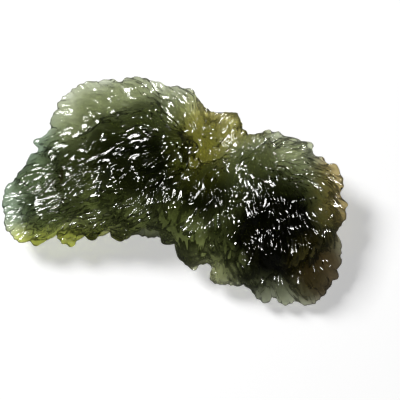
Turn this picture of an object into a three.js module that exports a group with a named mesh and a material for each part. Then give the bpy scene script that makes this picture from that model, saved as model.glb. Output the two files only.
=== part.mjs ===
// A natural moldavite: one piece of green impact glass, thick and domed in two lobes, thin at its
// rim, and etched all over into pits, furrows and ridges that run outwards from the domes.
// Lengths are millimetres. +X is along the stone, +Y across it and +Z up. The stone lies on its
// worn belly at z = 0, with the origin under the middle of its box.

import * as THREE from "three";
import { mergeVertices } from "three/addons/utils/BufferGeometryUtils.js";

// The rim as it looks from 70 degrees above the floor, at the front: across and up the view,
// from its middle. It runs from the right-hand end round by the back, left and front.
const SEEN_RIM = [
  [18.8, -2.6], [18.3, -1.5], [18.4, -0.5], [17.8, 0.8], [17.6, 1.5], [16.9, 1.8], [16.3, 2.5],
  [15.1, 3.0], [15.1, 3.8], [13.8, 4.0], [13.2, 4.4], [12.0, 4.7], [11.5, 5.2], [10.2, 5.5],
  [9.1, 5.2], [8.3, 4.8], [7.3, 5.6], [7.0, 6.2], [6.4, 7.4], [4.5, 7.7], [3.6, 8.0], [2.0, 9.2],
  [1.9, 9.8], [1.1, 10.2], [0.1, 10.5], [-1.2, 10.7], [-1.8, 11.1], [-3.2, 11.2], [-4.5, 11.4],
  [-5.8, 11.5], [-6.6, 11.2], [-7.4, 11.7], [-8.6, 11.7], [-9.3, 11.2], [-10.3, 11.1],
  [-11.6, 10.5], [-12.8, 9.8], [-13.3, 8.8], [-13.3, 8.0], [-14.0, 7.1], [-14.2, 5.9],
  [-15.2, 4.9], [-16.1, 4.4], [-15.7, 3.3], [-16.4, 3.1], [-16.8, 2.1], [-16.8, 1.4],
  [-17.8, 0.2], [-18.8, -0.7], [-19.0, -2.8], [-18.6, -4.6], [-18.3, -5.4], [-17.2, -6.6],
  [-15.8, -6.6], [-15.1, -6.9], [-13.8, -5.8], [-13.1, -5.8], [-12.5, -6.7], [-11.3, -7.1],
  [-10.8, -6.2], [-10.0, -5.9], [-9.1, -6.3], [-8.5, -5.2], [-7.5, -5.1], [-6.9, -6.0],
  [-5.8, -6.4], [-5.1, -5.4], [-3.7, -4.9], [-2.8, -5.4], [-1.9, -5.5], [-1.5, -6.8],
  [-0.7, -7.0], [0.5, -6.7], [0.4, -7.7], [0.7, -8.6], [1.8, -9.8], [2.7, -9.1], [3.8, -9.1],
  [4.0, -10.0], [4.1, -10.9], [5.8, -11.2], [6.7, -11.5], [7.7, -11.2], [8.4, -12.2],
  [9.0, -12.8], [9.8, -13.0], [10.6, -12.5], [11.8, -13.3], [13.0, -13.0], [13.9, -13.3],
  [15.1, -13.2], [16.0, -12.3], [17.0, -10.9], [17.6, -10.4], [17.3, -9.7], [17.7, -8.9],
  [17.9, -7.8], [17.8, -6.7], [17.4, -6.0], [17.6, -5.2], [18.4, -4.4], [18.6, -3.3],
];
const VIEW_ELEVATION = THREE.MathUtils.degToRad(70);
const SEEN_MIDDLE_HEIGHT = 5.1;
const RIM_SAMPLES = 183;
const DEEPEST_FADE = 6;

// A thin flange all round, and domes that swell out of it above and sag to the belly below. The
// last one is a hollow, the thin saddle between the two lobes.
const FLANGE_ABOVE = 1.55;
const RISE = 3.3;
const FLANGE_BELOW = 0.36;
const SAG = 0.72;
const DOMES = [
  { x: -5.4, y: 2.2, along: 8.4, across: 5.8, tilt: 14, share: 0.96 },
  { x: 11.6, y: -5.2, along: 7.8, across: 6.8, tilt: -40, share: 1.0 },
  { x: 2.4, y: -2.8, along: 5.4, across: 4.2, tilt: -20, share: 0.7 },
  { x: -13.0, y: -1.0, along: 5.0, across: 4.0, tilt: 20, share: 0.35 },
  { x: 3.0, y: 5.0, along: 5.4, across: 3.6, tilt: 75, share: -0.9 },
];
const EDGE_POWER = 4;
const EDGE_ROUND = 0.7;

// The rim is highest at the back and lowest at the front right.
const RIM_HEIGHT = 3.6;
const RIM_SLOPE_X = 0.05;
const RIM_SLOPE_Y = 0.13;
const RIM_TWIST = 0.008;

// Broad lumps, as three crossing swells.
const LUMP_HEIGHT = 0.18;
const LUMP_SPACING = 5.2;
const LUMP_SWELLS = [
  { direction: new THREE.Vector3(1.0, 0.35, 0.3), phase: 0.8 },
  { direction: new THREE.Vector3(-0.45, 0.95, 0.4), phase: 2.1 },
  { direction: new THREE.Vector3(0.6, -0.7, 0.8), phase: 4.4 },
];

// The etched pits, longer than wide. They run outwards, and each swings off its way a little.
const PIT_TRIES = 4000;
const OUTERMOST_PIT = 0.985;
const PIT_CLEARANCE = 1.7;
const PIT_HALF_LENGTH = 2.3;
const PIT_HALF_WIDTH = 1.15;
const PIT_DEPTH = 0.7;
const CREST_SHARPNESS = 7;
const DEEPEST_LEAST = 1.1;
const MEAN_LEAST = 0.25;
const RIM_CALM = 0.4;
const CALM_POWER = 12;
const FLANGE_SHARE = 0.7;
const FULL_SWELL = 0.55;
const PIT_SWING = THREE.MathUtils.degToRad(16);

// The pits run outwards from these two places.
const SWIRLS = [new THREE.Vector3(-1.0, 3.6, 0), new THREE.Vector3(10.4, -3.6, 0)];

// The grid that carries the surface: cells along, across and down the band at the rim.
const CELLS_ALONG = 54;
const CELLS_ACROSS = 32;
const CELLS_DOWN = 8;
const BAND_START = 0.91;
const BAND_POWER = 1.5;
const LONG_SIDE_SHARE = 0.2;

const GLASS = { color: 0x2c3a1c, roughness: 0.12, metalness: 0 };

const NUDGE = 0.01;
const SWIRL_CORE = 0.5;
const GOLDEN_SHARE = (Math.sqrt(5) - 1) / 2;
const FULL_TURN = 2 * Math.PI;
const CENTRE = new THREE.Vector2();

// A repeatable number from 0 to 1 for each whole number.
function scatter(index, salt) {
  const value = Math.sin(index * 12.9898 + salt * 78.233) * 43758.5453;
  return value - Math.floor(value);
}

// Where a point of the rim lies in the plan: its height up the view is y sin(elevation) plus
// what its height over the floor adds, and that height is known from the rim's slopes.
function planFromView(x, up) {
  const rise = Math.cos(VIEW_ELEVATION);
  const level = up - (RIM_HEIGHT + RIM_SLOPE_X * x - SEEN_MIDDLE_HEIGHT) * rise;
  return level / (Math.sin(VIEW_ELEVATION) + (RIM_SLOPE_Y + RIM_TWIST * x) * rise);
}

// The rim as a sum of turning arrows, one for each whole number of turns.
function rimArrows() {
  const corners = SEEN_RIM.map(([x, up]) => new THREE.Vector3(x, planFromView(x, up), 0));
  const spaced = new THREE.CatmullRomCurve3(corners, true).getSpacedPoints(RIM_SAMPLES).slice(1);
  const most = (RIM_SAMPLES - 1) / 2;
  const arrows = [];
  for (let turns = -most; turns <= most; turns += 1) {
    const arrow = new THREE.Vector2();
    spaced.forEach(({ x, y }, i) => {
      arrow.add(new THREE.Vector2(x, y).rotateAround(CENTRE, (-turns * FULL_TURN * i) / RIM_SAMPLES));
    });
    arrows.push({ turns, arrow: arrow.divideScalar(RIM_SAMPLES) });
  }
  return arrows;
}

const ARROWS = rimArrows();

// A point of the plan: reach is 0 in the middle and 1 on the rim. The fast arrows, which make
// the teeth of the rim, fade first on the way in.
function planPoint(reach, turn) {
  const place = new THREE.Vector2();
  for (const { turns, arrow } of ARROWS) {
    const fade = reach ** Math.min(Math.abs(turns), DEEPEST_FADE);
    place.addScaledVector(arrow.clone().rotateAround(CENTRE, turns * turn), fade);
  }
  return place;
}

// How far one dome swells at a place, from 0 to 1.
function domeSwell(dome, x, y) {
  const offset = new THREE.Vector2(x - dome.x, y - dome.y);
  offset.rotateAround(CENTRE, -THREE.MathUtils.degToRad(dome.tilt));
  const spread = (offset.x / dome.along) ** 2 + (offset.y / dome.across) ** 2;
  return dome.share * Math.exp(-spread);
}

function swellAt(x, y) {
  return 1 - DOMES.reduce((clear, dome) => clear * (1 - domeSwell(dome, x, y)), 1);
}

// The smooth stone before it is etched. side is 1 for the top and -1 for the underside.
function smoothPoint(reach, turn, side) {
  const { x, y } = planPoint(reach, turn);
  const edge = (1 - reach ** EDGE_POWER) ** EDGE_ROUND;
  const rimHeight = RIM_HEIGHT + RIM_SLOPE_X * x + RIM_SLOPE_Y * y + RIM_TWIST * x * y;
  const swell = swellAt(x, y);
  const above = edge * (FLANGE_ABOVE + RISE * swell);
  const below = edge * rimHeight * (FLANGE_BELOW + SAG * swell * swell * (3 - 2 * swell));
  return new THREE.Vector3(x, y, side > 0 ? rimHeight + above : rimHeight - below);
}

// The way the pits run: out from the nearest swirl towards the rim.
function flowAt(point) {
  const flow = new THREE.Vector3();
  for (const swirl of SWIRLS) {
    const away = point.clone().sub(swirl).setZ(0);
    flow.addScaledVector(away, 1 / (away.length() + SWIRL_CORE) ** 3);
  }
  return flow.normalize();
}

// How far a point is from a pit's middle, squared, in the pit's own lengths and widths.
function pitDistance(pit, point) {
  const away = point.clone().sub(pit.centre);
  const lengths = Math.hypot(away.dot(pit.along), away.dot(pit.normal)) / PIT_HALF_LENGTH;
  const widths = away.dot(pit.across) / PIT_HALF_WIDTH;
  return lengths * lengths + widths * widths;
}

function pitAt(reach, turn, side, swing) {
  const centre = smoothPoint(reach, turn, side);
  const outwards = smoothPoint(reach + NUDGE, turn, side).sub(centre);
  const around = smoothPoint(reach, turn + NUDGE, side).sub(centre);
  const normal = outwards.cross(around).normalize();
  const along = flowAt(centre).projectOnPlane(normal).normalize().applyAxisAngle(normal, swing);
  return { centre, along, across: normal.clone().cross(along), normal };
}

// Places are tried all over both faces, and a pit starts only where no other lies too near.
function makePits() {
  const pits = [];
  for (let i = 0; i < PIT_TRIES; i += 1) {
    const level = 1 - 2 * (((i + 0.5) * GOLDEN_SHARE) % 1);
    const reach = OUTERMOST_PIT * Math.sqrt(1 - Math.abs(level));
    const turn = FULL_TURN * scatter(i, 2);
    const pit = pitAt(reach, turn, level < 0 ? -1 : 1, PIT_SWING * (2 * scatter(i, 3) - 1));
    if (pits.every((other) => pitDistance(other, pit.centre) > PIT_CLEARANCE)) pits.push(pit);
  }
  return pits;
}

const PITS = makePits();

// Height of the etched relief: a smooth least of the distances to the pits' middles, so that
// sharp crests stand where two pits meet.
function etchAt(point) {
  let sum = 1e-9;
  for (const pit of PITS) sum += Math.exp(-CREST_SHARPNESS * pitDistance(pit, point));
  const least = Math.min(-Math.log(sum) / CREST_SHARPNESS, DEEPEST_LEAST);
  return PIT_DEPTH * (least - MEAN_LEAST);
}

function lumpAt(point) {
  const turnPerLength = FULL_TURN / LUMP_SPACING;
  let height = 0;
  for (const { direction, phase } of LUMP_SWELLS) {
    height += Math.sin(turnPerLength * point.dot(direction) + phase);
  }
  return LUMP_HEIGHT * height;
}

// A box's surface laid over the stone: its top and underside become the two faces, and its four
// walls the band at the rim. The square is rounded to a disc, and its long sides get more turn.
function boxToDisc({ x, y, z }) {
  const across = x * Math.sqrt(1 - (y * y) / 2);
  const up = y * Math.sqrt(1 - (x * x) / 2);
  const angle = Math.atan2(up, across);
  const turn = angle - LONG_SIDE_SHARE * Math.sin(2 * angle);
  const onBand = Math.abs(z) < 1 - 1e-6;
  const inset = (1 - BAND_START) * Math.abs(z) ** BAND_POWER;
  const reach = onBand ? 1 - inset : BAND_START * Math.hypot(across, up);
  return { reach, turn, side: Math.sign(z) || 1 };
}

// Each cell is two triangles in a row of the index. It is split along its shorter diagonal, so
// that the crests run clean.
function splitCells(geometry) {
  const places = geometry.getAttribute("position");
  const index = geometry.index;
  const corner = (i) => new THREE.Vector3().fromBufferAttribute(places, i);
  for (let i = 0; i < index.count; i += 6) {
    const [a, b, d, , c] = index.array.slice(i, i + 6);
    const kept = corner(b).distanceTo(corner(d)) <= corner(a).distanceTo(corner(c));
    index.array.set(kept ? [a, b, d, b, c, d] : [a, b, c, a, c, d], i);
  }
}

function stoneGeometry() {
  const box = new THREE.BoxGeometry(2, 2, 2, CELLS_ALONG, CELLS_ACROSS, CELLS_DOWN);
  box.deleteAttribute("normal");
  box.deleteAttribute("uv");
  const geometry = mergeVertices(box, 1e-4);
  const places = geometry.getAttribute("position");
  const point = new THREE.Vector3();
  const calm = [];
  for (let i = 0; i < places.count; i += 1) {
    const { reach, turn, side } = boxToDisc(point.fromBufferAttribute(places, i));
    point.copy(smoothPoint(reach, turn, side));
    places.setXYZ(i, point.x, point.y, point.z);
    const swelling = THREE.MathUtils.clamp(swellAt(point.x, point.y) / FULL_SWELL, 0, 1);
    calm.push((1 - RIM_CALM * reach ** CALM_POWER) * THREE.MathUtils.lerp(FLANGE_SHARE, 1, swelling));
  }
  geometry.computeVertexNormals();
  const normals = geometry.getAttribute("normal").clone();
  const normal = new THREE.Vector3();
  for (let i = 0; i < places.count; i += 1) {
    point.fromBufferAttribute(places, i);
    normal.fromBufferAttribute(normals, i);
    point.addScaledVector(normal, calm[i] * (etchAt(point) + lumpAt(point)));
    places.setXYZ(i, point.x, point.y, Math.max(point.z, 0));
  }
  geometry.computeBoundingBox();
  const middle = geometry.boundingBox.getCenter(new THREE.Vector3());
  geometry.translate(-middle.x, -middle.y, 0);
  splitCells(geometry);
  geometry.computeVertexNormals();
  return geometry;
}

const stone = new THREE.Mesh(stoneGeometry(), new THREE.MeshStandardMaterial(GLASS));
stone.name = "moldavite";

const moldavite = new THREE.Group();
moldavite.add(stone);

export default moldavite;
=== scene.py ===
# %% [markdown]
# # A raw moldavite
# Moldavite is green glass that an impact threw out as splashes of melt. Acids in the soil then
# ate pits and furrows into it, and left sharp ridges between them. This lesson makes one stone:
# first its smooth body, then its etched skin, then the glass itself, and last the light.
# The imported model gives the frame, and everything is in metres in that frame.

# %% The frame
import bpy
import numpy as np
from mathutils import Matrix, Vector


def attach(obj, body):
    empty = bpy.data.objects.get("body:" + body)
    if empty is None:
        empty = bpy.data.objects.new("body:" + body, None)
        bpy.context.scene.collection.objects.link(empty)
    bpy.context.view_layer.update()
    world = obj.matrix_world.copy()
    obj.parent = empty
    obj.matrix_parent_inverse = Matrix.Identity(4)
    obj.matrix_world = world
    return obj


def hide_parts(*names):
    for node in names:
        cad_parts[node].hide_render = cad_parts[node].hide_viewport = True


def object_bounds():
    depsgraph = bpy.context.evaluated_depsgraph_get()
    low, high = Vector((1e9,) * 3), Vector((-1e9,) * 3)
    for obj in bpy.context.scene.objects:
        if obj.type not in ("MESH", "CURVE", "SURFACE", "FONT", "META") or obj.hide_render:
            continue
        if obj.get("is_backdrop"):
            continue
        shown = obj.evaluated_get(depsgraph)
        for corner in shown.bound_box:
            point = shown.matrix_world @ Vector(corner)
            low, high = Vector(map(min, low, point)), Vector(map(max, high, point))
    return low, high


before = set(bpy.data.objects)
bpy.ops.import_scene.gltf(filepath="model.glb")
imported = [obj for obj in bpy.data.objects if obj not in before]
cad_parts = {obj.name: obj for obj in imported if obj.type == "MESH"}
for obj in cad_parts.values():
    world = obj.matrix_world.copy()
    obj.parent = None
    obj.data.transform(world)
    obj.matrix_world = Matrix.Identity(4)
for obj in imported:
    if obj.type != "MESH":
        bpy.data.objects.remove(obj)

CAD_LOW, CAD_HIGH = (list(corner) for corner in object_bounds())
MM = 0.001
print("CAD box, mm:", [round((high - low) / MM, 1) for low, high in zip(CAD_LOW, CAD_HIGH)])

# %% [markdown]
# ## The rim
# Seen from 70 degrees above the floor, the stone is a bent bean with a toothed edge. We could
# draw that edge in plan, but it is easier to judge in the view, so the list of corners holds it
# as it looks: millimetres across and up the view, from its middle. It runs from the right-hand
# end round by the back, the left end and the front. The corners were read off enlarged pieces
# of the photograph, then turned into millimetres, thinned out, and shifted a little in whole
# stretches. Small scripts that aren't part of this lesson then turned them into millimetres,
# thinned them out and shifted whole stretches of them a little.

# %% The rim's corners
SEEN_RIM = np.array([
    [18.8, -2.6], [18.3, -1.5], [18.4, -0.5], [17.8, 0.8], [17.6, 1.5], [16.9, 1.8], [16.3, 2.5],
    [15.1, 3.0], [15.1, 3.8], [13.8, 4.0], [13.2, 4.4], [12.0, 4.7], [11.5, 5.2], [10.2, 5.5],
    [9.1, 5.2], [8.3, 4.8], [7.3, 5.6], [7.0, 6.2], [6.4, 7.4], [4.5, 7.7], [3.6, 8.0],
    [2.0, 9.2], [1.9, 9.8], [1.1, 10.2], [0.1, 10.5], [-1.2, 10.7], [-1.8, 11.1], [-3.2, 11.2],
    [-4.5, 11.4], [-5.8, 11.5], [-6.6, 11.2], [-7.4, 11.7], [-8.6, 11.7], [-9.3, 11.2],
    [-10.3, 11.1], [-11.6, 10.5], [-12.8, 9.8], [-13.3, 8.8], [-13.3, 8.0], [-14.0, 7.1],
    [-14.2, 5.9], [-15.2, 4.9], [-16.1, 4.4], [-15.7, 3.3], [-16.4, 3.1], [-16.8, 2.1],
    [-16.8, 1.4], [-17.8, 0.2], [-18.8, -0.7], [-19.0, -2.8], [-18.6, -4.6], [-18.3, -5.4],
    [-17.2, -6.6], [-15.8, -6.6], [-15.1, -6.9], [-13.8, -5.8], [-13.1, -5.8], [-12.5, -6.7],
    [-11.3, -7.1], [-10.8, -6.2], [-10.0, -5.9], [-9.1, -6.3], [-8.5, -5.2], [-7.5, -5.1],
    [-6.9, -6.0], [-5.8, -6.4], [-5.1, -5.4], [-3.7, -4.9], [-2.8, -5.4], [-1.9, -5.5],
    [-1.5, -6.8], [-0.7, -7.0], [0.5, -6.7], [0.4, -7.7], [0.7, -8.6], [1.8, -9.8], [2.7, -9.1],
    [3.8, -9.1], [4.0, -10.0], [4.1, -10.9], [5.8, -11.2], [6.7, -11.5], [7.7, -11.2],
    [8.4, -12.2], [9.0, -12.8], [9.8, -13.0], [10.6, -12.5], [11.8, -13.3], [13.0, -13.0],
    [13.9, -13.3], [15.1, -13.2], [16.0, -12.3], [17.0, -10.9], [17.6, -10.4], [17.3, -9.7],
    [17.7, -8.9], [17.9, -7.8], [17.8, -6.7], [17.4, -6.0], [17.6, -5.2], [18.4, -4.4],
    [18.6, -3.3],
])
VIEW_ELEVATION = np.radians(70)
SEEN_MIDDLE_HEIGHT = 5.1
RIM_HEIGHT, RIM_SLOPE_X, RIM_SLOPE_Y, RIM_TWIST = 3.6, 0.05, 0.13, 0.008


def plan_from_view(corners):
    """Lifts the rim off the view. How far up the view a point lies is y sin(elevation) plus its
    height times cos(elevation), and the rim's height there is known from its slopes."""
    x, up = corners.T
    rise = np.cos(VIEW_ELEVATION)
    level = up - (RIM_HEIGHT + RIM_SLOPE_X * x - SEEN_MIDDLE_HEIGHT) * rise
    y = level / (np.sin(VIEW_ELEVATION) + (RIM_SLOPE_Y + RIM_TWIST * x) * rise)
    return np.stack([x, y], axis=1)


RIM_CORNERS = plan_from_view(SEEN_RIM)
print("rim in plan, mm:", np.ptp(RIM_CORNERS, axis=0).round(1))

# %% [markdown]
# ## The rim as turning arrows
# A smooth curve through the corners gives as many evenly spaced points as we like. We could
# shrink that curve step by step to fill the stone, but then its teeth would run to the middle.
# Turning the points into a sum of turning arrows (a Fourier series) is better: slow arrows keep
# the bean's shape all the way in, and the fast ones, which make the teeth, die away first.

# %% The arrows and the plan
RIM_SAMPLES = 183
DEEPEST_FADE = 6


def spaced_rim(corners, count, fine=24):
    """Points evenly spaced along a closed curve. Between two corners the curve is the cubic
    b + u (c - a)/2 + u^2 (a - 5b/2 + 2c - d/2) + u^3 (3b - a - 3c + d)/2."""
    a, b, c, d = (np.roll(corners, -k, axis=0)[:, None] for k in (-1, 0, 1, 2))
    u = (np.arange(fine) / fine)[None, :, None]
    bend = u**2 * (a - 2.5 * b + 2 * c - d / 2) + u**3 * (3 * b - a - 3 * c + d) / 2
    curve = (b + u * (c - a) / 2 + bend).reshape(-1, 2)
    steps = np.linalg.norm(np.roll(curve, -1, axis=0) - curve, axis=1)
    run = np.concatenate([[0], np.cumsum(steps)])
    closed = np.vstack([curve, curve[:1]])
    wanted = run[-1] * np.arange(1, count + 1) / count
    return np.stack([np.interp(wanted, run, closed[:, axis]) for axis in (0, 1)], axis=1)


RIM_POINTS = spaced_rim(RIM_CORNERS, RIM_SAMPLES) @ np.array([1, 1j])
ARROWS = np.fft.fft(RIM_POINTS) / RIM_SAMPLES
TURNS = np.fft.fftfreq(RIM_SAMPLES, 1 / RIM_SAMPLES)


def plan(reach, turn):
    """The sum over the arrows of arrow * reach^min(|turns|, 6) * e^(i turns turn). reach is 0 in
    the middle and 1 on the rim, and turn goes once round."""
    place = np.zeros(np.broadcast(reach, turn).shape, complex)
    for arrow, turns in zip(ARROWS, TURNS):
        place += arrow * reach ** min(abs(turns), DEEPEST_FADE) * np.exp(1j * turns * turn)
    return place.real, place.imag


print("rim length, mm:", round(float(np.abs(np.diff(RIM_POINTS)).sum()), 1))

# %% [markdown]
# ## The smooth body
# The real splash is thin at its rim and swells in two domes, with a low one that joins them and
# another towards the left end. Spheres pushed together would leave creases, so each dome is a
# bell-shaped bump, joined so that together they never make more than one full swell. The last
# one is a hollow: it thins the saddle between the two lobes, where light shines through. The rim
# isn't level. It is highest at the back and lowest at the front right.

# %% Swell and height
FLANGE_ABOVE, RISE = 1.55, 3.3
FLANGE_BELOW, SAG = 0.36, 0.72
DOMES = [
    dict(x=-5.4, y=2.2, along=8.4, across=5.8, tilt=14, share=0.96),
    dict(x=11.6, y=-5.2, along=7.8, across=6.8, tilt=-40, share=1.0),
    dict(x=2.4, y=-2.8, along=5.4, across=4.2, tilt=-20, share=0.7),
    dict(x=-13.0, y=-1.0, along=5.0, across=4.0, tilt=20, share=0.35),
    dict(x=3.0, y=5.0, along=5.4, across=3.6, tilt=75, share=-0.9),
]
EDGE_POWER, EDGE_ROUND = 4, 0.7


def swell(x, y):
    """1 - product over the domes of (1 - share e^-d^2), with d the distance from the dome
    in its own lengths and widths."""
    clear = 1.0
    for dome in DOMES:
        away = (x - dome["x"] + 1j * (y - dome["y"])) * np.exp(-1j * np.radians(dome["tilt"]))
        spread = (away.real / dome["along"]) ** 2 + (away.imag / dome["across"]) ** 2
        clear = clear * (1 - dome["share"] * np.exp(-spread))
    return 1 - clear


def smooth_stone(reach, turn, side):
    """Height over the plan: the rim's height, plus the flange and the swell where side is 1, or
    less the flange and 3 swell^2 - 2 swell^3 of the sag where side is -1. Both close to nothing
    at the rim as (1 - reach^4)^0.7."""
    x, y = plan(reach, turn)
    edge = (1 - reach**EDGE_POWER) ** EDGE_ROUND
    rim = RIM_HEIGHT + RIM_SLOPE_X * x + RIM_SLOPE_Y * y + RIM_TWIST * x * y
    bulge = swell(x, y)
    above = rim + edge * (FLANGE_ABOVE + RISE * bulge)
    below = rim - edge * rim * (FLANGE_BELOW + SAG * bulge**2 * (3 - 2 * bulge))
    return np.stack([x, y, np.where(side > 0, above, below)], axis=-1)


middle_above, middle_below = (smooth_stone(np.zeros(1), np.zeros(1), side)[0] for side in (1, -1))
print("glass in the middle, mm thick:", round(float(middle_above[2] - middle_below[2]), 1))

# %% [markdown]
# ## Which way the pits run
# On the real stone each pit is longer than it is wide, and runs outwards, as if the acid had
# flowed from two places. A texture of noise has no such order, so we set two swirls and let
# every pit point away from them, the nearer one counting far more. Scattered numbers that come
# out the same on each run give each pit a small swing of its own.

# %% Scatter and flow
FULL_TURN = 2 * np.pi
SWIRL_CORE = 0.5
SCATTER_STEP, SCATTER_SALT, SCATTER_SCALE = 12.9898, 78.233, 43758.5453


def scatter(index, salt):
    """A repeatable number from 0 to 1: what follows the point in scale sin(step i + salt s)."""
    value = np.sin(index * SCATTER_STEP + salt * SCATTER_SALT) * SCATTER_SCALE
    return value - np.floor(value)


def unit(vectors):
    return vectors / np.linalg.norm(vectors, axis=-1, keepdims=True)


def flow(points, swirls):
    """The way the pits run: the sum over the swirls of away / (distance + core)^3, on the level."""
    total = np.zeros(points.shape)
    for swirl in swirls:
        away = (points - swirl) * [1, 1, 0]
        total += away / (np.linalg.norm(away, axis=-1, keepdims=True) + SWIRL_CORE) ** 3
    return unit(total)


print("three scattered numbers:", scatter(np.arange(3), 1).round(2))

# %% [markdown]
# ## Placing the pits
# Places are tried one after another all over both faces, and a pit starts only where no other
# lies too near, so the pits end up evenly packed but in no pattern. Each keeps the frame it was
# made in: along the flow, across it, and out of the stone.

# %% Evenly packed pits
GOLDEN_SHARE = (np.sqrt(5) - 1) / 2
OUTERMOST_PIT = 0.985
NUDGE = 0.01
TURN_SALT, SWING_SALT = 2, 3


def make_pits(tries, clearance, half_length, half_width, swing, swirls, salt=0):
    """Pits whose middles are more than sqrt(clearance) apart in their own lengths and widths."""
    i = np.arange(tries)
    level = 1 - 2 * (((i + 0.5) * GOLDEN_SHARE) % 1)
    reach = OUTERMOST_PIT * np.sqrt(1 - np.abs(level))
    turn = FULL_TURN * scatter(i, TURN_SALT + salt)
    side = np.where(level < 0, -1, 1)
    centre = smooth_stone(reach, turn, side)
    outwards = smooth_stone(reach + NUDGE, turn, side) - centre
    around = smooth_stone(reach, turn + NUDGE, side) - centre
    normal = unit(np.cross(outwards, around))
    way = flow(centre, swirls)
    way = unit(way - (way * normal).sum(-1, keepdims=True) * normal)
    angle = (swing * (2 * scatter(i, SWING_SALT + salt) - 1))[:, None]
    along = way * np.cos(angle) + np.cross(normal, way) * np.sin(angle)
    across = np.cross(normal, along)
    frames = np.stack([along / half_length, across / half_width, normal / half_length], axis=1)
    kept = np.empty(tries, int)
    kept_centre, kept_frames, count = np.empty((tries, 3)), np.empty((tries, 3, 3)), 0
    for k in range(tries):
        away = kept_frames[:count] @ centre[k] - kept_centre[:count]
        if count and (away**2).sum(-1).min() <= clearance:
            continue
        kept[count], kept_frames[count], kept_centre[count] = k, frames[k], frames[k] @ centre[k]
        count += 1
    kept = kept[:count]
    return dict(centre=centre[kept], along=along[kept], across=across[kept], normal=normal[kept],
                half_length=half_length, half_width=half_width)


LARGE_SWIRLS = np.array([[-1.0, 3.6, 0], [10.4, -3.6, 0]])
LARGE_PITS = make_pits(tries=4000, clearance=1.7, half_length=2.3, half_width=1.15,
                       swing=np.radians(16), swirls=LARGE_SWIRLS)
print("large pits, which the solid has too:", len(LARGE_PITS["centre"]))

# %% [markdown]
# ## The fine pits
# Over the real stone's large pits run worm-like ridges. Those that catch the light stand a little
# under a millimetre apart, but not every ridge does, so they are drawn finer, at two thirds of a
# millimetre. They need pits of their own, narrow and long. In the view they fan out from the
# saddle and from the back of the right lobe, so their swirls lie there.

# %% Fine pits
RIDGE_SPACING = 0.66
FINE_SWIRLS = np.array([[2.0, 5.2, 0], [8.6, 2.4, 0]])
FINE_PITS = make_pits(tries=45000, clearance=1.2, half_length=2.2 * RIDGE_SPACING,
                      half_width=0.48 * RIDGE_SPACING, swing=np.radians(30),
                      swirls=FINE_SWIRLS, salt=5)
print("fine pits:", len(FINE_PITS["centre"]))

# %% [markdown]
# ## Ridges between the pits
# To find how deep a point lies, we measure its distance to every pit's middle in that pit's own
# lengths and widths, and keep the least. Where two pits meet, the least has a crest, and that
# crest is a ridge. Only pits in the neighbourhood count, so the work is done in small batches.

# %% Depth between pits
LARGE_SHARPNESS, FINE_SHARPNESS = 7, 3.5
HIGHEST_CREST = 1.1
NEIGHBOURHOOD, BATCH, SMALLEST_SUM = 2.2, 2048, 1e-9


def pit_distance(points, pits):
    """Squared distance of each point from each pit's middle, in that pit's lengths and widths."""
    away = points[:, None] - pits["centre"][None]
    ways = ("along", "across", "normal")
    along, across, normal = (np.einsum("pqk,qk->pq", away, pits[way]) for way in ways)
    return (along**2 + normal**2) / pits["half_length"] ** 2 + (across / pits["half_width"]) ** 2


def least_distance(points, pits, sharpness):
    """-ln(sum e^(-sharpness d^2)) / sharpness over the pits: a smooth least of the squared
    distances. It is 0 in the middle of a pit and at most 1.1 on the crest between two."""
    least = np.empty(len(points))
    near = NEIGHBOURHOOD * pits["half_length"]
    for start in range(0, len(points), BATCH):
        part = slice(start, start + BATCH)
        low, high = points[part].min(0) - near, points[part].max(0) + near
        close = ((pits["centre"] > low) & (pits["centre"] < high)).all(-1)
        few = {key: value[close] if np.ndim(value) else value for key, value in pits.items()}
        total = np.exp(-sharpness * pit_distance(points[part], few)).sum(-1) + SMALLEST_SUM
        least[part] = -np.log(total) / sharpness
    return np.minimum(least, HIGHEST_CREST)


three_pits = LARGE_PITS["centre"][:3]
print("depth measure at three pits:", least_distance(three_pits, LARGE_PITS, LARGE_SHARPNESS).round(2))

# %% [markdown]
# ## A closed grid
# A single sheet bent round the stone would leave a seam and two poles. So a box whose faces are
# grids of cells is laid over it: its top and underside become the two faces of the stone, and
# its walls the band at the rim. The cells meet along the edges, and the skin is closed.

# %% The grid
CELLS_ALONG, CELLS_ACROSS, CELLS_DOWN = 240, 144, 32


def box_grid(along, across, down):
    """Whole-number places on a box's surface, each named once, and the four corners of each cell."""
    size = np.array([along, across, down])
    faces = []
    for axis in range(3):
        first, second = (axis + 1) % 3, (axis + 2) % 3
        u, v = np.meshgrid(np.arange(size[first]), np.arange(size[second]), indexing="ij")
        for end in (0, size[axis]):
            cell = np.zeros((u.size, 4, 3), int)
            cell[:, :, axis] = end
            steps = [(0, 0), (1, 0), (1, 1), (0, 1)]
            for corner, (du, dv) in enumerate(steps if end else steps[::-1]):
                cell[:, corner, first] = u.ravel() + du
                cell[:, corner, second] = v.ravel() + dv
            faces.append(cell)
    cells = np.concatenate(faces)
    key = (cells[..., 0] * (across + 1) + cells[..., 1]) * (down + 1) + cells[..., 2]
    _, first_seen, index = np.unique(key, return_index=True, return_inverse=True)
    places = cells.reshape(-1, 3)[first_seen]
    return places / size * 2 - 1, index.reshape(-1, 4)


box, cells = box_grid(CELLS_ALONG, CELLS_ACROSS, CELLS_DOWN)
print("vertices:", len(box), "triangles:", 2 * len(cells))

# %% [markdown]
# ## From the box to the stone
# The square faces must become the round plan. Straight rays would crowd the cells at the box's
# corners, so the square is rounded to a disc first, and its long sides get more of the turn.

# %% The smooth skin
BAND_START, BAND_POWER, LONG_SIDE_SHARE = 0.91, 1.5, 0.2
FACE_LEVEL = 1 - 1e-6


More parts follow.
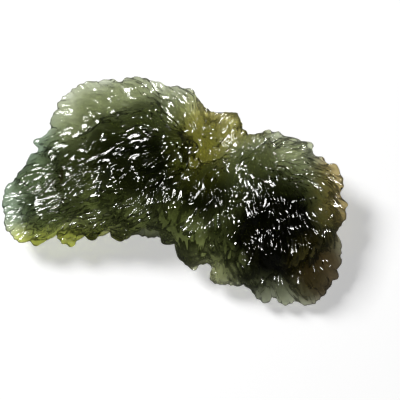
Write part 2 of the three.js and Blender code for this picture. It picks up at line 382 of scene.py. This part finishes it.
def box_to_disc(box):
    """Rounds the square to a disc: (x sqrt(1 - y^2/2), y sqrt(1 - x^2/2)), then reach and turn."""
    x, y, z = box.T
    across, up = x * np.sqrt(1 - y * y / 2), y * np.sqrt(1 - x * x / 2)
    angle = np.arctan2(up, across)
    turn = angle - LONG_SIDE_SHARE * np.sin(2 * angle)
    inset = (1 - BAND_START) * np.abs(z) ** BAND_POWER
    reach = np.where(np.abs(z) < FACE_LEVEL, 1 - inset, BAND_START * np.hypot(across, up))
    return reach, turn, np.where(z < 0, -1, 1)


def vertex_normals(points, cells):
    """The mean of the cells' normals at each point, each the cross product of the cell's diagonals."""
    a, b, c, d = (points[cells[:, k]] for k in range(4))
    face = np.cross(c - a, d - b)
    total = [np.bincount(cells.ravel(), np.repeat(face[:, k], 4), len(points)) for k in range(3)]
    return unit(np.stack(total, -1))


reach, turn, side = box_to_disc(box)
smooth = smooth_stone(reach, turn, side)
print("smooth stone, mm:", np.ptp(smooth, axis=0).round(1))

# %% [markdown]
# ## The relief
# The real skin has three scales, and each is pushed out along the normals: broad lumps, which
# are crossing waves, the large pits, and the fine pits on top of those. The broad relief is
# calmer on the thin rim, which would break up otherwise. What would dip under the floor is
# pressed level with it, so the stone rests on a few small flat places.

# %% Lumps, large pits and fine pits
LUMP_HEIGHT, LUMP_SPACING = 0.18, 5.2
LUMP_SWELLS = [((1.0, 0.35, 0.3), 0.8), ((-0.45, 0.95, 0.4), 2.1), ((0.6, -0.7, 0.8), 4.4)]
LARGE_DEPTH, FINE_DEPTH = 0.32, 0.19
LARGE_MEAN = 0.1
RIM_CALM, CALM_POWER = 0.4, 12
CALMEST, FULL_SWELL = 0.7, 0.55


def lumps(points):
    """The lumps' height times the sum of three sines of the place along three directions."""
    wave = FULL_TURN / LUMP_SPACING
    return LUMP_HEIGHT * sum(np.sin(wave * (points @ np.array(way)) + phase)
                             for way, phase in LUMP_SWELLS)


swelling = np.clip(swell(smooth[:, 0], smooth[:, 1]) / FULL_SWELL, 0, 1)
calm = (1 - RIM_CALM * reach**CALM_POWER) * (CALMEST + (1 - CALMEST) * swelling)
large = least_distance(smooth, LARGE_PITS, LARGE_SHARPNESS)
broad = LARGE_DEPTH * (large - LARGE_MEAN) + lumps(smooth)
points = smooth + vertex_normals(smooth, cells) * (calm * broad)[:, None]
ridge = least_distance(points, FINE_PITS, FINE_SHARPNESS)
points = points + vertex_normals(points, cells) * (FINE_DEPTH * ridge)[:, None]
points[:, 2] = np.maximum(points[:, 2], 0)
points[:, :2] -= (points[:, :2].max(0) + points[:, :2].min(0)) / 2
print("stone, mm:", np.ptp(points, axis=0).round(1))

# %% [markdown]
# ## The stone as one piece
# The real stone is a single lump of glass, so it is a single closed mesh. Three measures go with
# it for the material to read: how near a crest each point is, how thin the stone is there, and
# whether the point is on the underside.

# %% The mesh
def mesh_object(name, points, cells):
    mesh = bpy.data.meshes.new(name)
    mesh.vertices.add(len(points))
    mesh.vertices.foreach_set("co", (points * MM).ravel())
    mesh.loops.add(cells.size)
    mesh.loops.foreach_set("vertex_index", cells.ravel())
    mesh.polygons.add(len(cells))
    mesh.polygons.foreach_set("loop_start", np.arange(0, cells.size, 4))
    mesh.polygons.foreach_set("use_smooth", np.ones(len(cells), bool))
    mesh.update(calc_edges=True)
    mesh.validate()
    made = bpy.data.objects.new(name, mesh)
    bpy.context.collection.objects.link(made)
    return made


stone = mesh_object("moldavite_stone", points, cells)
for measure, values in dict(ridge=ridge, thin=1 - swelling, under=(side < 0).astype(float)).items():
    stone.data.attributes.new(measure, "FLOAT", "POINT").data.foreach_set("value", values)
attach(stone, "root")
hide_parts("moldavite")
print("faces:", len(stone.data.polygons), "measures:", "ridge, thin, under")

# %% [markdown]
# ## Nodes in plain words
# The materials below are built from nodes. One helper turns a colour as a web page writes it
# into the linear light that the renderer works with. Another adds a node and sets or links its
# inputs by name, so that each node is a single call.

# %% Helpers for the materials
def linear(colour):
    """sRGB hex to linear: c/12.92 below 0.04045, else ((c + 0.055)/1.055)^2.4."""
    parts = np.array([int(colour[k:k + 2], 16) / 255 for k in (1, 3, 5)])
    return (*np.where(parts <= 0.04045, parts / 12.92, ((parts + 0.055) / 1.055) ** 2.4).tolist(), 1.0)


def add(tree, kind, inputs={}, **settings):
    """Adds a node, sets its settings and inputs, and links each input that is another node's output."""
    node = tree.nodes.new(kind)
    for key, value in settings.items():
        setattr(node, key, value)
    sockets = {socket.name: socket for socket in reversed(node.inputs) if socket.enabled}
    for key, value in inputs.items():
        if isinstance(value, bpy.types.NodeSocket):
            tree.links.new(value, sockets[key])
        else:
            sockets[key].default_value = value
    return node


print("a green in linear light:", np.round(linear("#8a9a5b"), 3))

# %% [markdown]
# ## Bands of colour in the glass
# The melt was never quite mixed. The saddle is amber, the left end a cool grey green, the front
# edge yellow green, the back edge a pale one, the right edge brown, and both domes are smoky.
# Over the front of the right lobe the colour is near black: smoky glass, and painted shade where
# that side lies in its own shadow by the floor. A picture could hold that, but a few soft clouds
# of colour do it with less: each has a place and a spread in millimetres, holds its full strength
# in the middle and fades to nothing at its edge.

# %% Clouds of colour
CLEAR_GLASS = "#e8ecdc"
CLOUD_CORE = 0.6
CLOUDS = [
    ("#14160d", (-3.5, 1.0, 6.0), (9.4, 6.2, 9.0), 0.98),
    ("#14160d", (3.0, -2.2, 6.0), (4.8, 3.4, 9.0), 0.97),
    # near black over the right lobe's front: smoky glass plus painted shade of its own shadow
    ("#060504", (11.0, -6.4, 6.0), (10.0, 9.4, 9.0), 1.0),
    ("#f6e884", (2.8, 4.2, 6.0), (4.6, 7.6, 9.0), 0.95),
    ("#f8ec9c", (6.4, 7.2, 6.0), (5.0, 4.5, 9.0), 0.85),
    ("#7e9682", (-17.0, 2.0, 5.0), (8.0, 12.0, 9.0), 0.85),
    ("#e4e86c", (-11.0, -7.0, 3.0), (12.0, 4.2, 6.0), 0.9),
    ("#fcfedc", (2.6, -9.2, 3.0), (6.0, 4.2, 6.0), 0.98),
    ("#dcc48c", (18.0, -1.0, 4.0), (4.4, 7.0, 8.0), 0.9),
    ("#6a5030", (16.0, -9.5, 3.0), (4.6, 4.6, 8.0), 0.85),
    ("#b4bca0", (-7.0, 9.5, 4.0), (11.0, 6.0, 8.0), 0.5),
    ("#6b3d1c", (-12.2, 0.2, 6.0), (0.4, 1.2, 4.0), 0.8),
]


def clouded(tree, colour):
    """The glass colour with every cloud mixed in. A cloud's share is its strength times a smooth
    step of 1 - distance from its middle, counted in its spread."""
    where = add(tree, "ShaderNodeTexCoord").outputs["Object"]
    for cloud, place, spread, strength in CLOUDS:
        near = add(tree, "ShaderNodeMapping", {
            "Vector": where, "Location": [c * MM for c in place], "Scale": [s * MM for s in spread],
        }, vector_type="TEXTURE")
        fade = add(tree, "ShaderNodeTexGradient", {"Vector": near.outputs[0]}, gradient_type="SPHERICAL")
        share = add(tree, "ShaderNodeMapRange", {
            "Value": fade.outputs["Fac"], "From Max": CLOUD_CORE, "To Max": strength,
        }, interpolation_type="SMOOTHSTEP")
        mixed = add(tree, "ShaderNodeMix", {
            "Factor": share.outputs[0], "A": colour, "B": linear(cloud)}, data_type="RGBA")
        colour = mixed.outputs["Result"]
    return colour


print("clouds of colour:", len(CLOUDS))

# %% [markdown]
# ## The glass
# Moldavite is a silica-rich glass with little water, and its refractive index is 1.48 to 1.51.
# Iron makes it green: light that has crossed a millimetre or two of it is a pale grey green, and
# light that has crossed ten is almost black. A painted surface can't do that, so the colour is
# mostly in the volume, as a loss for each millimetre in red, green and blue. The crests shine
# and the pits are a little duller. The thin rim is slightly hazy, and the underside is taken as
# worn matt, which spreads the light that comes up through the stone.

# %% Glass material
MOLDAVITE_IOR = 1.495
LOSS_PER_MM = (0.36, 0.335, 0.5)
GRAIN_MM, GRAIN_HEIGHT_MM, GRAIN_DETAIL = 0.45, 0.02, 1.0
PIT_LEVEL, CREST_LEVEL = 0.35, 0.65
PIT_ROUGHNESS, CREST_ROUGHNESS, THIN_ROUGHNESS, UNDER_ROUGHNESS = 0.1, 0.03, 0.14, 0.55


def etched_roughness(tree):
    """Smooth step from the pits' roughness to the crests', then mixed to the rim's and the underside's."""
    ridge = add(tree, "ShaderNodeAttribute", attribute_name="ridge")
    polish = add(tree, "ShaderNodeMapRange", {
        "Value": ridge.outputs["Fac"], "From Min": PIT_LEVEL, "From Max": CREST_LEVEL,
        "To Min": PIT_ROUGHNESS, "To Max": CREST_ROUGHNESS}, interpolation_type="SMOOTHSTEP")
    roughness = polish.outputs[0]
    for measure, dull in (("thin", THIN_ROUGHNESS), ("under", UNDER_ROUGHNESS)):
        share = add(tree, "ShaderNodeAttribute", attribute_name=measure)
        mixed = add(tree, "ShaderNodeMix", {
            "Factor": share.outputs["Fac"], "A": roughness, "B": dull}, data_type="FLOAT")
        roughness = mixed.outputs[0]
    return roughness


def natural_glass():
    material = bpy.data.materials.new("moldavite_natural_glass")
    material.use_nodes = True
    tree = material.node_tree
    tree.nodes.clear()
    where = add(tree, "ShaderNodeTexCoord")
    grain = add(tree, "ShaderNodeTexNoise", {
        "Vector": where.outputs["Object"], "Scale": 1 / (GRAIN_MM * MM),
        "Detail": GRAIN_DETAIL})
    bump = add(tree, "ShaderNodeBump", {
        "Height": grain.outputs[0], "Distance": GRAIN_HEIGHT_MM * MM, "Strength": 1.0})
    surface = add(tree, "ShaderNodeBsdfPrincipled", {
        "Base Color": clouded(tree, linear(CLEAR_GLASS)), "Roughness": etched_roughness(tree),
        "Normal": bump.outputs[0], "IOR": MOLDAVITE_IOR, "Transmission Weight": 1.0})
    densest = max(LOSS_PER_MM) / MM
    kept = [1 - loss / MM / densest for loss in LOSS_PER_MM]
    volume = add(tree, "ShaderNodeVolumeAbsorption", {"Color": (*kept, 1.0), "Density": densest})
    add(tree, "ShaderNodeOutputMaterial", {"Surface": surface.outputs[0], "Volume": volume.outputs[0]})
    return material


stone.data.materials.append(natural_glass())
for crossed in (1.5, 10):
    print("light left after", crossed, "mm:", np.exp(-crossed * np.array(LOSS_PER_MM)).round(3))

# %% [markdown]
# ## The floor
# The stone lies on a white light pad: the floor glows a little and is lit as well, and what
# comes up through the thin glass is that light. Clear glass would also mirror the floor on every
# steep flank and turn the dark domes grey. The floor is left out of those mirror images, as a
# photographer does with black card beside the stone.

# %% The floor
GLOW = 0.5
FLOOR_WHITE = 0.8
FLOOR_HALF = 2.0


def plain_floor():
    material = bpy.data.materials.new("white_light_pad")
    material.use_nodes = True
    tree = material.node_tree
    tree.nodes.clear()
    surface = add(tree, "ShaderNodeBsdfPrincipled", {
        "Base Color": (FLOOR_WHITE, FLOOR_WHITE, FLOOR_WHITE, 1), "Roughness": 1.0,
        "Specular IOR Level": 0.0, "Emission Color": (1, 1, 1, 1), "Emission Strength": GLOW})
    add(tree, "ShaderNodeOutputMaterial", {"Surface": surface.outputs[0]})
    return material


floor_mesh = bpy.data.meshes.new("floor")
floor_corners = [(x * FLOOR_HALF, y * FLOOR_HALF, 0) for x, y in ((-1, -1), (1, -1), (1, 1), (-1, 1))]
floor_mesh.from_pydata(floor_corners, [], [(0, 1, 2, 3)])
floor_mesh.materials.append(plain_floor())
floor = bpy.data.objects.new("floor", floor_mesh)
bpy.context.collection.objects.link(floor)
floor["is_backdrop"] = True
floor.visible_glossy = False
print("floor side, m:", 2 * FLOOR_HALF)

# %% [markdown]
# ## The lamps
# One soft key lamp stands at the back left, 41 degrees up, and throws the two shadows to the
# front right. The white lines on the ridges need lamps of their own: each small lamp gives a
# thin line on every ridge that faces halfway between it and the camera, so a few of them stand
# round the stone, with a weak one overhead. They light only the stone, not the floor.

# %% Key and glints
TARGET = Vector((0, 0, 5 * MM))
LAMP_DISTANCE = 0.5
KEY = dict(azimuth=146, elevation=41, size=0.17, radiance=29)
OVERHEAD = dict(azimuth=0, elevation=86, size=0.08, radiance=24)
GLINT_SIZE, GLINT_RADIANCE = 0.06, 68
GLINTS = [(75, 28), (130, 40), (180, 32), (5, 33), (262, 52)]


def panel(name, azimuth, elevation, size, radiance):
    """A square lamp aimed at the stone. Its power is radiance * pi * area, so how bright it looks
    doesn't depend on its size."""
    lamp = bpy.data.lights.new(name, "AREA")
    lamp.shape = "SQUARE"
    lamp.size = size
    lamp.energy = radiance * np.pi * size * size
    made = bpy.data.objects.new(name, lamp)
    a, e = np.radians(azimuth), np.radians(elevation)
    way = Vector((np.cos(a) * np.cos(e), np.sin(a) * np.cos(e), np.sin(e)))
    made.location = TARGET + way * LAMP_DISTANCE
    made.rotation_euler = way.to_track_quat("Z", "Y").to_euler()
    bpy.context.collection.objects.link(made)
    return made


key = panel("key", **KEY)
glints = [panel(f"glint_{azimuth}", azimuth, elevation, GLINT_SIZE, GLINT_RADIANCE)
          for azimuth, elevation in GLINTS]
glints.append(panel("glint_over", **OVERHEAD))
stone_only = bpy.data.collections.new("stone_only")
stone_only.objects.link(stone)
for lamp in glints:
    lamp.light_linking.receiver_collection = stone_only
print("lamps:", 1 + len(glints))

# %% [markdown]
# ## The studio
# The floor and the lamps do the lighting. Round them the studio is dim, a faint grey low down
# that fades to almost black overhead, because whatever is pale above the stone would lie on its
# dark glass as a milky veil.

# %% Wall and ceiling
WALL, CEILING, CEILING_START = 0.045, 0.001, 0.35
world = bpy.data.worlds.new("studio")
bpy.context.scene.world = world
world.use_nodes = True
sky = world.node_tree
facing = add(sky, "ShaderNodeTexCoord")
height = add(sky, "ShaderNodeSeparateXYZ", {"Vector": facing.outputs["Generated"]})
glow = add(sky, "ShaderNodeMapRange", {
    "Value": height.outputs["Z"], "From Max": CEILING_START, "To Min": WALL, "To Max": CEILING})
background = sky.nodes["Background"]
background.inputs["Color"].default_value = (1, 1, 1, 1)
sky.links.new(glow.outputs[0], background.inputs["Strength"])
print("studio glow from", WALL, "at the floor to", CEILING, "overhead")

# %% [markdown]
# ## The camera
# The camera looks down at 70 degrees from the front. One pixel of the picture is 0.11 mm at the
# stone, which sets how far away the camera is. The stone lies left of the picture's middle and
# a little above it, so the camera aims beside it.

# %% Camera
PIXEL = 0.11 * MM
PICTURE_SIDE = 400
LENS = 100
AIM_RIGHT, AIM_DOWN = 26 * PIXEL, 16 * PIXEL
NEAREST, FARTHEST = 0.01, 10
back = Vector((0, -np.cos(VIEW_ELEVATION), np.sin(VIEW_ELEVATION)))
up_view = Vector((0, np.sin(VIEW_ELEVATION), np.cos(VIEW_ELEVATION)))
middle = Vector((0, 0, (CAD_LOW[2] + CAD_HIGH[2]) / 2))
aim = middle + Vector((AIM_RIGHT, 0, 0)) - up_view * AIM_DOWN
camera_data = bpy.data.cameras.new("camera")
camera_data.lens = LENS
camera_data.clip_start, camera_data.clip_end = NEAREST, FARTHEST
camera = bpy.data.objects.new("camera", camera_data)
bpy.context.collection.objects.link(camera)
camera.location = aim + back * (PIXEL * PICTURE_SIDE * LENS / camera_data.sensor_width)
camera.rotation_euler = back.to_track_quat("Z", "Y").to_euler()
scene = bpy.context.scene
scene.camera = camera
print("camera distance, mm:", round((camera.location - aim).length / MM))

# %% [markdown]
# ## Light paths and tones
# Light goes in and out of the ridges many times before it leaves the stone, so paths are long.
# The plain tone curve keeps the white floor white and the deep glass black.

# %% Light paths and tones
MOST_BOUNCES, GLASS_BOUNCES = 16, 12
scene.view_settings.view_transform = "Standard"
scene.cycles.max_bounces = MOST_BOUNCES
scene.cycles.transmission_bounces = GLASS_BOUNCES
scene.cycles.use_denoising = True
print("bounces:", scene.cycles.max_bounces)
